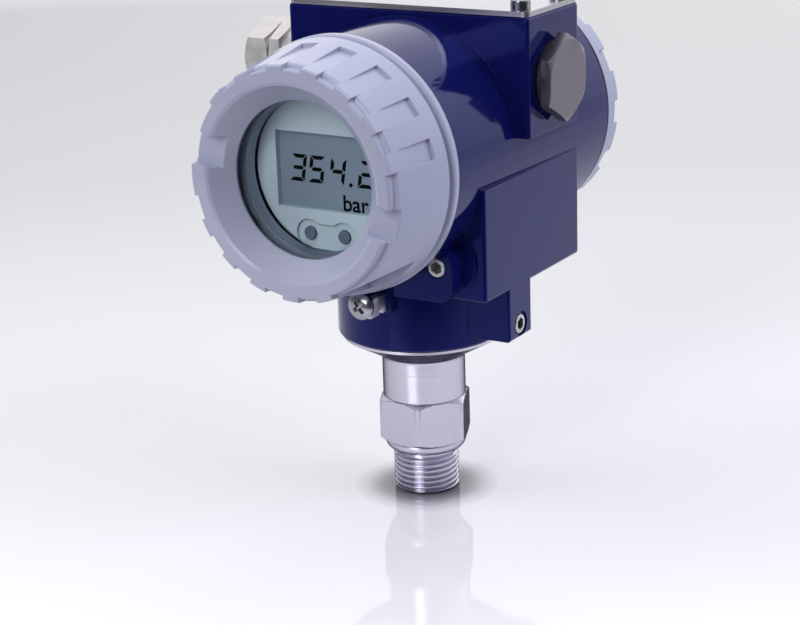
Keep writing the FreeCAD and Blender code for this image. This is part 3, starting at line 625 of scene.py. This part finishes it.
def mesh_piece(name: str, points: np.ndarray, faces: list[tuple[int, ...]], finish: Finish,
               smooth: bool = True) -> bpy.types.Object:
    """Makes a mesh object at the origin from points in metres and faces.

    Args:
        name: the piece's name.
        points: an array of n by 3 coordinates.
        faces: tuples of point numbers, counter-clockwise seen from outside.
        finish: the finish of the whole piece.
        smooth: True for smooth shading.

    Returns:
        The new object, linked to the scene.
    """
    mesh = bpy.data.meshes.new(name)
    mesh.from_pydata(points.reshape(-1, 3).tolist(), [], faces)
    mesh.polygons.foreach_set("use_smooth", np.full(len(mesh.polygons), smooth))
    mesh.materials.append(finish.material())
    mesh.update()
    piece = bpy.data.objects.new(name, mesh)
    bpy.context.scene.collection.objects.link(piece)
    return piece


def wrapped_faces(rows: int, columns: int) -> list[tuple[int, ...]]:
    """Quads of a grid of points that closes on itself both ways, as a torus does.

    Args:
        rows: number of rows of points.
        columns: number of points in a row.

    Returns:
        Tuples of four point numbers, counter-clockwise seen from outside.
    """
    row, column = np.meshgrid(np.arange(rows), np.arange(columns), indexing="ij")
    next_row, next_column = (row + 1) % rows, (column + 1) % columns
    corners = np.stack([row * columns + column, row * columns + next_column,
                        next_row * columns + next_column, next_row * columns + column], -1)
    return [tuple(quad) for quad in corners.reshape(-1, 4).tolist()]


@dataclass
class Stem:
    """Process connection: the cut thread, the rounded seat, the hexagon and the pressure port."""

    major_r: float = 10.4775 * MM
    pitch: float = 1.814 * MM
    thread_depth: float = 1.162 * MM
    thread_top: float = 12.6 * MM
    tip_chamfer: float = 1.0 * MM
    # Place on the triangle wave where a flank starts, and its width there
    crest: tuple[float, float] = (0.28, 0.64)
    # Length of the thread's fading end, in pitches
    run_out: float = 0.6
    relief_r: float = 9.2 * MM
    relief_top: float = 13.9 * MM
    relief_fillet: float = 0.3 * MM
    seat_r: float = 13.1 * MM
    # Inset from the seat's radius and height of the rounded seat, from the relief up to the hexagon
    seat_curve: Profile = ((2.0 * MM, 13.92 * MM), (1.1 * MM, 14.25 * MM), (0.5 * MM, 14.9 * MM),
                           (0.12 * MM, 15.7 * MM), (0.0, 16.3 * MM), (0.0, 17.0 * MM),
                           (0.12 * MM, 17.28 * MM))
    hex_flats: float = 27.0 * MM
    hex_span: tuple[float, float] = (17.3 * MM, 32.0 * MM)
    hex_turn: float = 22.0
    hex_chamfer: float = 1.3 * MM
    hex_inset: float = 0.1 * MM
    corner_cut: float = 0.06 * MM
    chamfer_rows: int = 6
    port_r: float = 1.75 * MM
    port_chamfer: float = 0.4 * MM
    # Radius and floor height of the recess above the port
    recess: tuple[float, float] = (10.8 * MM, 24.0 * MM)
    columns_a_side: int = 40
    crowding: float = 0.45
    rows_a_turn: int = 26
    sharp_from: float = math.radians(28)

    HALF_SIDE: ClassVar[float] = math.radians(30)

    def corner_angle(self) -> float:
        """Angle of one corner of the hexagon."""
        return math.radians(-90 + self.hex_turn)

    def angles(self) -> np.ndarray:
        """Angles about Z, crowded towards the six corners by a share of a parabola.

        Returns:
            Angles in radians, one for each column.
        """
        step = np.linspace(-1, 1, self.columns_a_side, endpoint=False)
        bent = np.sign(step) * (1 - (1 - np.abs(step)) ** 2)
        eased = (1 - self.crowding) * step + self.crowding * bent
        middles = self.corner_angle() + self.HALF_SIDE + np.arange(6) * 2 * self.HALF_SIDE
        return (middles[:, None] + eased[None, :] * self.HALF_SIDE).ravel()

    def thread_rows(self) -> np.ndarray:
        """Heights of the rows over the thread."""
        return np.linspace(0, self.thread_top, int(self.thread_top / self.pitch * self.rows_a_turn))

    def thread_radius(self, z: np.ndarray, angle: np.ndarray) -> np.ndarray:
        """Radius of the thread: a rounded wave of (z / pitch - angle) cut off by the tip's chamfer.

        A triangle wave is clipped to a flat crest and root, and its flank is half straight and
        half a smooth step. At the top the thread runs out into the relief.

        Args:
            z: heights, one for each row.
            angle: angles, one for each column.

        Returns:
            Radii of rows by columns.
        """
        phase = z[:, None] / self.pitch - angle[None, :] / math.tau
        wave = np.abs(2 * (phase - np.floor(phase)) - 1)
        start, width = self.crest
        flank = np.clip((wave - start) / width, 0, 1)
        share = (flank * flank * (3 - 2 * flank) + flank) / 2
        cut = self.major_r - self.thread_depth * share
        tip = self.major_r - self.tip_chamfer + z[:, None]
        fade = np.clip((self.thread_top - z[:, None]) / (self.run_out * self.pitch), 0, 1)
        fading = self.relief_r + (cut - self.relief_r) * fade
        return np.minimum(np.minimum(cut, tip), np.where(fade < 1, fading, cut))

    def hex_radius(self, z: np.ndarray, angle: np.ndarray) -> np.ndarray:
        """Radius of the hexagon, flats / 2 / cos of the angle from a flat, inside two turned cones.

        Args:
            z: heights, one for each row.
            angle: angles, one for each column.

        Returns:
            Radii of rows by columns.
        """
        from_corner = np.mod(angle - self.corner_angle(), 2 * self.HALF_SIDE)
        flat = self.hex_flats / 2 / np.cos(from_corner - self.HALF_SIDE)
        corner = self.hex_flats / 2 / math.cos(self.HALF_SIDE) - self.corner_cut
        inside = self.hex_flats / 2 - self.hex_inset
        slope = (corner - inside) / self.hex_chamfer
        low, high = self.hex_span
        cone = inside + slope * np.minimum(z - low, high - z)[:, None]
        return np.minimum(np.minimum(flat, corner)[None, :], cone)

    def build(self) -> bpy.types.Object:
        """Builds the threaded connection as one closed turned surface with its port and recess.

        Returns:
            The piece, which stands for the process connection.
        """
        angle = self.angles()
        one = np.ones((1, angle.size))
        thread_z = self.thread_rows()
        low, high = self.hex_span
        hex_z = np.concatenate([np.linspace(low, low + self.hex_chamfer, self.chamfer_rows),
                                np.linspace(high - self.hex_chamfer, high, self.chamfer_rows)])
        fillet = self.relief_fillet
        seat = np.array([[self.relief_r, self.relief_top - fillet],
                         [self.relief_r + fillet, self.relief_top],
                         *([self.seat_r - inset, height] for inset, height in self.seat_curve)])
        recess_r, recess_z = self.recess
        inner = np.array([[recess_r, high], [recess_r, recess_z], [self.port_r, recess_z],
                          [self.port_r, self.port_chamfer], [self.port_r + self.port_chamfer, 0.0]])
        radii = np.concatenate([self.thread_radius(thread_z, angle), seat[:, :1] * one,
                                self.hex_radius(hex_z, angle), inner[:, :1] * one])
        heights = np.concatenate([thread_z, seat[:, 1], hex_z, inner[:, 1]])[:, None] * one
        points = np.stack([radii * np.cos(angle), radii * np.sin(angle), heights], -1)
        faces = wrapped_faces(len(heights), angle.size)
        piece = mesh_piece("threaded_connection", points, faces, STAINLESS)
        piece.data.set_sharp_from_angle(angle=self.sharp_from)
        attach(piece, "neck")
        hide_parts("process_connection")
        return piece


@dataclass
class DomedScrew:
    """Pan-head screw of the earth clamp, with a domed head and a cross recess."""

    centre: tuple[float, float] = (0.3 * MM, 70.9 * MM)
    seat_y: float = -35.3 * MM
    end_y: float = -23.2 * MM
    head_r: float = 4.3 * MM
    head_height: float = 2.3 * MM
    dome: float = 1.25 * MM
    dome_power: float = 2.4
    rim: float = 0.6 * MM
    rim_edge: float = 0.1 * MM
    shank_r: float = 2.5 * MM
    # Half width and reach of an arm of the cross, and the slope of its sides and ends
    arm: tuple[float, float] = (0.62 * MM, 2.3 * MM)
    arm_slope: tuple[float, float] = (0.2 * MM, 0.6 * MM)
    arm_depth: float = 1.4 * MM
    arm_turn: float = 38.0
    rings: int = 36
    columns: int = 120
    sharp_from: float = math.radians(40)

    def recess(self, x: np.ndarray, z: np.ndarray) -> np.ndarray:
        """Depth of the cross recess at points of the head, with sloped walls.

        Args:
            x: distances from the head's middle along X.
            z: distances from it along Z.

        Returns:
            Depths at the points.
        """
        turn = math.radians(self.arm_turn)
        u, v = x * math.cos(turn) + z * math.sin(turn), z * math.cos(turn) - x * math.sin(turn)
        half, reach = self.arm
        side, end = self.arm_slope

        def bar(across: np.ndarray, along: np.ndarray) -> np.ndarray:
            """Share of the full depth inside one arm and its opposite."""
            return (np.clip((half - np.abs(across)) / side, 0, 1)
                    * np.clip((reach - np.abs(along)) / end, 0, 1))

        return self.arm_depth * np.maximum(bar(u, v), bar(v, u))

    def build(self) -> bpy.types.Object:
        """Builds the screw as one closed turned surface whose front is pressed in by the recess.

        The dome falls back from the middle by its height times a power of the radius.

        Returns:
            The piece, which stands for the earth screw.
        """
        angle = np.linspace(0, math.tau, self.columns, endpoint=False)
        share = np.linspace(0, 1, self.rings)
        front = self.seat_y - self.head_height
        edge = self.rim_edge
        back = np.array([[self.head_r, self.seat_y - self.rim], [self.head_r, self.seat_y - edge],
                         [self.head_r - edge, self.seat_y], [self.shank_r, self.seat_y],
                         [self.shank_r, self.end_y], [0.0, self.end_y]])
        radii = np.concatenate([share * self.head_r, back[:, 0]])[:, None]
        domed = front + self.dome * share ** self.dome_power
        y = np.concatenate([domed, back[:, 1]])[:, None] * np.ones_like(angle)
        x, z = radii * np.cos(angle), radii * np.sin(angle)
        y[:self.rings] += self.recess(x[:self.rings], z[:self.rings])
        points = np.stack([x + self.centre[0], y, z + self.centre[1]], -1)
        faces = wrapped_faces(len(radii), self.columns)[:-self.columns]
        piece = mesh_piece("domed_earth_screw", points, faces, ZINC)
        face_outwards(piece)
        piece.data.set_sharp_from_angle(angle=self.sharp_from)
        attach(piece, "case")
        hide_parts("earth_screw")
        return piece


@dataclass
class Readout:
    """Switched-on segments of the display: four slanted digits, a point and the unit."""

    digit_height: float = 8.1 * MM
    digit_width: float = 5.2 * MM
    stroke: float = 1.15 * MM
    slant: float = math.tan(math.radians(9))
    gap: float = 0.16 * MM
    thickness: float = 0.03 * MM
    base_z: float = -3.8 * MM
    lefts: tuple[float, ...] = (-13.2 * MM, -6.8 * MM, 0.4 * MM, 10.2 * MM)
    digits: str = "3542"
    point: tuple[float, float] = (8.0 * MM, -3.3 * MM)
    point_r: float = 0.6325 * MM
    point_sides: int = 12
    unit: str = "bar"
    unit_place: tuple[float, float] = (4.9 * MM, -11.1 * MM)
    unit_size: float = 6.7 * MM
    unit_weight: float = 0.1 * MM

    # Segments that are lit for each digit, lettered clockwise from the top with "g" in the middle
    LIT: ClassVar[dict[str, str]] = {
        "0": "abcdef", "1": "bc", "2": "abged", "3": "abgcd", "4": "fgbc", "5": "afgcd",
        "6": "afgedc", "7": "abc", "8": "abcdefg", "9": "abcdfg"}

    def segment(self, code: str) -> np.ndarray:
        """Outline of one segment in an upright cell: a bar whose ends are mitred at 45 degrees.

        Args:
            code: the segment's letter, "a" to "g".

        Returns:
            Corners in x and z, from the cell's lower left.
        """
        w, h, s, g = self.digit_width, self.digit_height, self.stroke, self.gap
        half = h / 2
        bars = {"a": ((g, h), (w - g, h), (w - g - s, h - s), (g + s, h - s)),
                "d": ((g + s, s), (w - g - s, s), (w - g, 0), (g, 0)),
                "f": ((0, h - g), (s, h - g - s), (s, half + g + s / 2), (0, half + g)),
                "e": ((0, half - g), (s, half - g - s / 2), (s, g + s), (0, g)),
                "b": ((w, h - g), (w, half + g), (w - s, half + g + s / 2), (w - s, h - g - s)),
                "c": ((w, half - g), (w, g), (w - s, g + s), (w - s, half - g - s / 2)),
                "g": ((s / 2 + g, half), (s + g, half + s / 2), (w - s - g, half + s / 2),
                      (w - s / 2 - g, half), (w - s - g, half - s / 2), (s + g, half - s / 2))}
        return np.array(bars[code])

    def prism(self, outline: np.ndarray, face_y: float) -> tuple[np.ndarray, list[tuple[int, ...]]]:
        """Thin prism of an outline in x and z, standing proud of the display's face.

        Args:
            outline: corners in x and z.
            face_y: place of the display's face along Y.

        Returns:
            The prism's points, and its faces as tuples of point numbers.
        """
        count = len(outline)
        front = np.column_stack([outline[:, 0], np.full(count, face_y - self.thickness), outline[:, 1]])
        back = front + np.array([0, self.thickness, 0])
        faces = [tuple(range(count)), tuple(range(2 * count - 1, count - 1, -1))]
        faces += [(k, k + count, (k + 1) % count + count, (k + 1) % count) for k in range(count)]
        return np.concatenate([front, back]), faces

    def outlines(self) -> list[np.ndarray]:
        """Outlines of all lit segments and the point, slanted to the right.

        Returns:
            Corners in x and z of each, from the display's middle.
        """
        found = []
        for left, digit in zip(self.lefts, self.digits):
            found += [self.segment(code) + np.array([left, 0]) for code in self.LIT[digit]]
        for outline in found:
            outline[:, 0] += outline[:, 1] * self.slant
            outline[:, 1] += self.base_z
        turn = np.linspace(0, math.tau, self.point_sides, endpoint=False)
        dot = np.column_stack([np.cos(turn), np.sin(turn)]) * self.point_r
        return found + [dot + np.array(self.point)]

    def build(self) -> list[bpy.types.Object]:
        """Builds the digits and the unit on the face of the display cell.

        Returns:
            The two pieces.
        """
        low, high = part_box("lcd_panel")
        face_y, middle = low.y, (low.z + high.z) / 2
        points, faces, count = [], [], 0
        for outline in self.outlines():
            some, quads = self.prism(outline + np.array([0, middle]), face_y)
            points.append(some)
            faces += [tuple(index + count for index in quad) for quad in quads]
            count += len(some)
        digits = mesh_piece("display_digits", np.concatenate(points), faces, SEGMENT, smooth=False)
        unit = self.build_unit(face_y, middle)
        for piece in (digits, unit):
            face_outwards(piece)
            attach(piece, "case")
        return [digits, unit]

    def build_unit(self, face_y: float, middle: float) -> bpy.types.Object:
        """Turns the unit's letters into a mesh on the display's face.

        Args:
            face_y: place of the display's face along Y.
            middle: height of the display's middle.

        Returns:
            The piece.
        """
        curve = bpy.data.curves.new("unit_letters", "FONT")
        curve.body = self.unit
        curve.size = self.unit_size
        curve.extrude = self.thickness / 2
        curve.offset = self.unit_weight
        holder = bpy.data.objects.new("unit_letters", curve)
        bpy.context.scene.collection.objects.link(holder)
        bpy.context.view_layer.update()
        solved = holder.evaluated_get(bpy.context.evaluated_depsgraph_get())
        mesh = bpy.data.meshes.new_from_object(solved)
        bpy.data.objects.remove(holder)
        mesh.name = "display_unit"
        stand = Matrix.Rotation(math.radians(90), 4, "X")
        x, z = self.unit_place
        mesh.transform(Matrix.Translation((x, face_y - self.thickness / 2, middle + z)) @ stand)
        mesh.materials.clear()
        mesh.materials.append(SEGMENT.material())
        piece = bpy.data.objects.new("display_unit", mesh)
        bpy.context.scene.collection.objects.link(piece)
        return piece


def face_outwards(piece: bpy.types.Object) -> None:
    """Merges doubled points and turns every face of a closed mesh outwards.

    Args:
        piece: the mesh object to mend.
    """
    mesh = bmesh.new()
    mesh.from_mesh(piece.data)
    bmesh.ops.remove_doubles(mesh, verts=mesh.verts, dist=MERGE_DISTANCE)
    bmesh.ops.recalc_face_normals(mesh, faces=mesh.faces)
    mesh.to_mesh(piece.data)
    mesh.free()


@dataclass
class FrameDresser:
    """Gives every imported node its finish."""

    finishes: tuple[tuple[Finish, tuple[str, ...]], ...]

    def dress(self, nodes: dict[str, bpy.types.Object]) -> None:
        """Puts each finish into the slots of its nodes.

        Args:
            nodes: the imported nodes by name.
        """
        for finish, names in self.finishes:
            for name in names:
                self.coat(nodes[name], finish)

    def coat(self, node: bpy.types.Object, finish: Finish) -> None:
        """Puts the finish into every slot of one node.

        Args:
            node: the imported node.
            finish: its finish.
        """
        if not node.data.materials:
            node.data.materials.append(finish.material())
        for slot in node.material_slots:
            slot.material = finish.material()
        LOG.info("%s dressed in %s", node.name, finish.label)


# ---------------------------------------------------------------- studio

@dataclass(frozen=True)
class Softbox:
    """A square lamp aimed at the object."""

    name: str
    position: tuple[float, float, float]
    size: float
    watts: float
    colour: str = "#ffffff"
    aim: tuple[float, float, float] = (0.0, 0.0, 0.1)
    mirrored: bool = True

    def build(self) -> None:
        """Adds the lamp to the scene."""
        lamp = bpy.data.lights.new(self.name, "AREA")
        lamp.shape = "SQUARE"
        lamp.size = self.size
        lamp.energy = self.watts
        lamp.color = linear(self.colour)[:3]
        holder = bpy.data.objects.new(self.name, lamp)
        bpy.context.scene.collection.objects.link(holder)
        holder.location = self.position
        holder.visible_glossy = self.mirrored
        aim = Vector(self.aim) - Vector(self.position)
        holder.rotation_euler = aim.to_track_quat("-Z", "Y").to_euler()


@dataclass
class Studio:
    """Glossy white floor, pale surroundings, lamps and the camera.

    Tones run along the camera's bearing over "ahead", the distance past the object, which is
    negative in front of it.
    """

    # Dark in front, for the dark edges that metal mirrors, then pale, then painted shade darkening to
    # grey further behind, then pale again far behind
    TONES: ClassVar[tuple[tuple[float, str], ...]] = (
        (0.0, "#1c1d24"), (0.07, "#e2e2e3"), (0.16, "#d8d8d9"), (0.4, "#b4b4b5"), (0.76, "#9c9c9e"),
        (0.9, "#f2f2f4"))
    # Painted contact shadow on the floor round the thread's tip: darkest at its middle, fading outwards
    PAINTED_CONTACT_SHADOW: ClassVar[tuple[tuple[float, str], ...]] = (
        (0.0, "#5e5d64"), (0.35, "#96959b"), (0.7, "#e2e2e4"), (1.0, "#ffffff"))
    # Surroundings from dark in front to white behind and above
    SKY: ClassVar[tuple[tuple[float, str], ...]] = (
        (0.0, "#2a2b33"), (0.35, "#565864"), (0.6, "#a3a4ae"), (0.8, "#c9c9d0"), (0.95, "#ffffff"))
    # What the camera itself sees in front of the object, and past the floor
    FRONT: ClassVar[str] = "#f4f4f6"
    BACKDROP: ClassVar[str] = "#e4e4e6"

    azimuth: float = 31.92
    elevation: float = 17.73
    roll: float = -1.94
    distance: float = 622.51 * MM
    lens: float = 88.12
    target_z: float = 58.59 * MM
    aside: float = -7.09 * MM
    film_width: float = 36.0
    near: float = 0.01
    floor_half: float = 6.0
    floor_ior: float = 1.45
    gloss: float = 0.06
    dull: float = 0.7
    tone_span: tuple[float, float] = (-0.25, 1.45)
    front_span: tuple[float, float] = (-0.12, -0.22)
    # Radii from the tip over which the painted contact shadow fades out
    contact_shadow_span: tuple[float, float] = (9.0 * MM, 24.0 * MM)
    sky_lean: tuple[float, float, float] = (-0.08, 0.85, 0.52)
    sky_strength: float = 1.4

    def floor(self) -> None:
        """Lays the floor under the thread's tip, with a contact shadow painted into its colour round
        the tip.

        Its gloss ends in front of the object. There the camera sees it pale, so that it is plain
        from every side, while reflections and light meet its dark tone.
        """
        corners = np.array([[-1, -1, 0], [1, -1, 0], [1, 1, 0], [-1, 1, 0]]) * self.floor_half
        finish = Finish("white_gloss_floor", "#f2f2f3", self.gloss, ior=self.floor_ior)
        sheet = mesh_piece("studio_floor", corners, [(0, 1, 2, 3)], finish, smooth=False)
        tree = sheet.data.materials[0].node_tree
        shader = next(node for node in tree.nodes if node.type == "BSDF_PRINCIPLED")
        turn = math.radians(self.azimuth)
        ahead = add(tree, "VectorMath", {"operation": "DOT_PRODUCT"},
                    {0: place(tree), 1: (-math.sin(turn), math.cos(turn), 0)}).outputs["Value"]
        away = add(tree, "VectorMath", {"operation": "LENGTH"}, {0: place(tree)}).outputs["Value"]
        tone = shaded(tree, ranged(tree, ahead, self.tone_span, 0.0, 1.0), self.TONES)
        # Painted contact shadow: darker floor colour round the thread's tip, multiplied into the tones
        contact_shadow = shaded(tree, ranged(tree, away, self.contact_shadow_span, 0.0, 1.0), self.PAINTED_CONTACT_SHADOW)
        front = ranged(tree, ahead, self.front_span, 0.0, 1.0)
        seen = sums(tree, "MULTIPLY", front, camera_rays(tree))
        colour = mixed(tree, "MIX", seen, mixed(tree, "MULTIPLY", 1.0, tone, contact_shadow),
                       linear(self.FRONT))
        finish.wire(tree, shader, Base_Color=colour,
                    Roughness=ranged(tree, front, (0.0, 1.0), self.gloss, self.dull))

    def surroundings(self) -> None:
        """World that lights from above and behind, dark in front, and pale all round to the camera."""
        world = bpy.data.worlds.new("studio")
        world.use_nodes = True
        bpy.context.scene.world = world
        tree = world.node_tree
        tree.nodes.clear()
        ray = add(tree, "TexCoord").outputs["Generated"]
        lean = add(tree, "VectorMath", {"operation": "DOT_PRODUCT"},
                   {0: ray, 1: self.sky_lean}).outputs["Value"]
        sky = shaded(tree, ranged(tree, lean, (-1, 1), 0.0, 1.0), self.SKY)
        glow = add(tree, "Background", inputs={"Color": sky, "Strength": self.sky_strength})
        backdrop = add(tree, "Background", inputs={"Color": linear(self.BACKDROP), "Strength": 1.0})
        view = add(tree, "MixShader",
                   inputs={0: camera_rays(tree), 1: glow.outputs[0], 2: backdrop.outputs[0]})
        add(tree, "OutputWorld", inputs={"Surface": view.outputs[0]})

    def lamps(self) -> None:
        """Hangs the softboxes; the side ones are not mirrored, so that the floor stays plain."""
        for box in (Softbox("overhead_softbox", (-0.2, -0.1, 1.1), 1.1, 0.8),
                    Softbox("front_softbox", (0.05, -1.0, 0.8), 0.4, 4.0),
                    Softbox("window_softbox", (-0.05, -1.2, 0.34), 0.5, 3.2, aim=(0.0, -0.06, 0.115)),
                    Softbox("left_softbox", (-0.85, -0.5, 0.85), 0.6, 5.2, mirrored=False),
                    Softbox("right_softbox", (0.95, 0.2, 0.85), 0.6, 6.5, "#e2e5ff",
                            mirrored=False)):
            box.build()

    def camera(self) -> None:
        """Sets the camera from its bearing, elevation, roll, distance and lens."""
        turn, rise, roll = (math.radians(v) for v in (self.azimuth, self.elevation, self.roll))
        reach = math.cos(rise)
        back = Vector((math.sin(turn) * reach, -math.cos(turn) * reach, math.sin(rise)))
        right = Vector((math.cos(turn), math.sin(turn), 0))
        up = back.cross(right)
        across = math.cos(roll) * right + math.sin(roll) * up
        upward = -math.sin(roll) * right + math.cos(roll) * up
        spot = Vector((0, 0, self.target_z)) + right * self.aside + back * self.distance
        lens = bpy.data.cameras.new("studio_camera")
        lens.sensor_width = self.film_width
        lens.lens = self.lens
        lens.clip_start = self.near
        holder = bpy.data.objects.new("studio_camera", lens)
        turned = Matrix((across, upward, back)).transposed().to_4x4()
        holder.matrix_world = Matrix.Translation(spot) @ turned
        bpy.context.scene.collection.objects.link(holder)
        bpy.context.scene.camera = holder

    def build(self) -> None:
        """Builds the whole studio."""
        self.floor()
        self.surroundings()
        self.lamps()
        self.camera()
        bpy.context.scene.view_settings.view_transform = "Standard"


def main() -> None:
    """Loads the frame, dresses it, adds the finer pieces and sets the studio."""
    logging.basicConfig(level=logging.INFO, format="%(message)s")
    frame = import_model()
    FrameDresser(NODES_BY_FINISH).dress(frame["nodes"])
    for piece in [Stem().build(), DomedScrew().build(), *Readout().build()]:
        LOG.info("built %s", piece.name)
    Studio().build()


if __name__ == "__main__":
    main()
